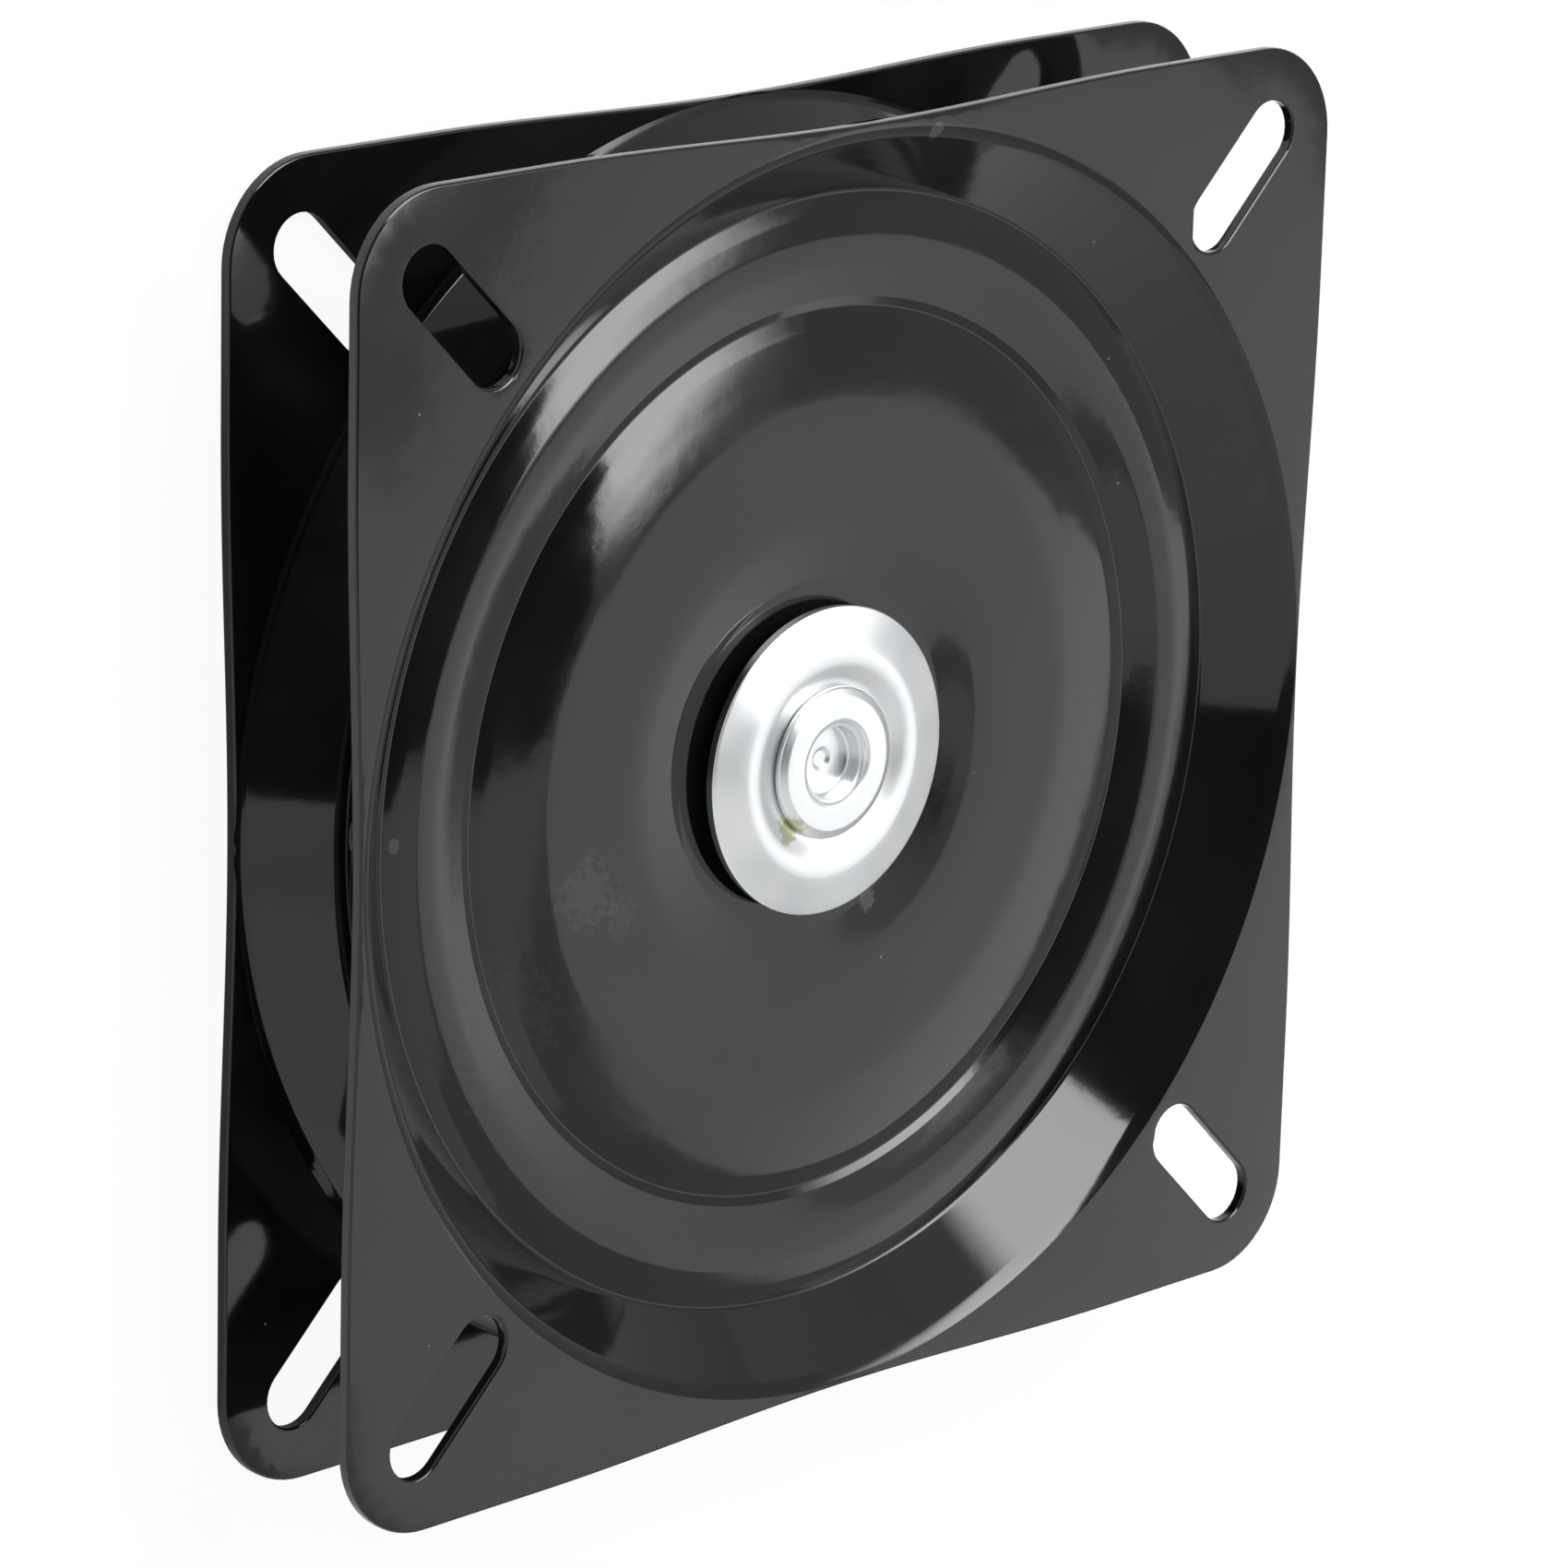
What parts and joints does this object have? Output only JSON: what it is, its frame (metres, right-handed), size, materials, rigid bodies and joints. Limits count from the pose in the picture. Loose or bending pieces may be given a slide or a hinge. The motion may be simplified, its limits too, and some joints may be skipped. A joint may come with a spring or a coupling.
{
  "type": "seat swivel plate",
  "caption": "Square seat swivel: two pressed black steel plates with diagonal mounting slots turn on a ball race round a riveted centre with a zinc washer.",
  "frame": {"origin": "on the swivel axis, in the lower plate's mounting face", "axes": "+Z along the swivel axis from the lower plate to the upper one; X and Y run square to the plates' sides, the four slots point at the centre along the diagonals"},
  "size_m": [0.2, 0.2, 0.0294],
  "materials": {
    "gloss_black_paint": "gloss black enamel",
    "zinc_plate": "bright zinc plating, lightly brushed",
    "ball_steel": "polished steel with a film of grease",
    "black_nylon": "moulded nylon, satin",
    "cage_nylon": "moulded nylon, natural colour"
  },
  "bodies": {
    "base": {"bottom_plate": "gloss_black_paint", "center_rivet": "zinc_plate", "lower_washer": "zinc_plate", "upper_washer": "zinc_plate", "lower_bush": "black_nylon", "upper_bush": "black_nylon", "spacer_bush": "black_nylon"},
    "turntable": {"top_plate": "gloss_black_paint"},
    "ball_ring": {"ball_cage": "cage_nylon", "ball_01": "ball_steel", "ball_02": "ball_steel", "ball_03": "ball_steel", "ball_04": "ball_steel", "ball_05": "ball_steel", "ball_06": "ball_steel", "ball_07": "ball_steel", "ball_08": "ball_steel", "ball_09": "ball_steel", "ball_10": "ball_steel", "ball_11": "ball_steel", "ball_12": "ball_steel", "ball_13": "ball_steel", "ball_14": "ball_steel", "ball_15": "ball_steel", "ball_16": "ball_steel"}
  },
  "joints": [
    {"name": "swivel", "type": "hinge", "parent": "base", "child": "turntable", "pos_m": [0, 0, 0.0147], "axis": [0, 0, 1], "continuous": true},
    {"name": "race_turn", "type": "hinge", "parent": "base", "child": "ball_ring", "pos_m": [0, 0, 0.0147], "axis": [0, 0, 1], "continuous": true}
  ],
  "couplings": [
    {"joint": "race_turn", "follows": "swivel", "ratio": 0.5}
  ]
}
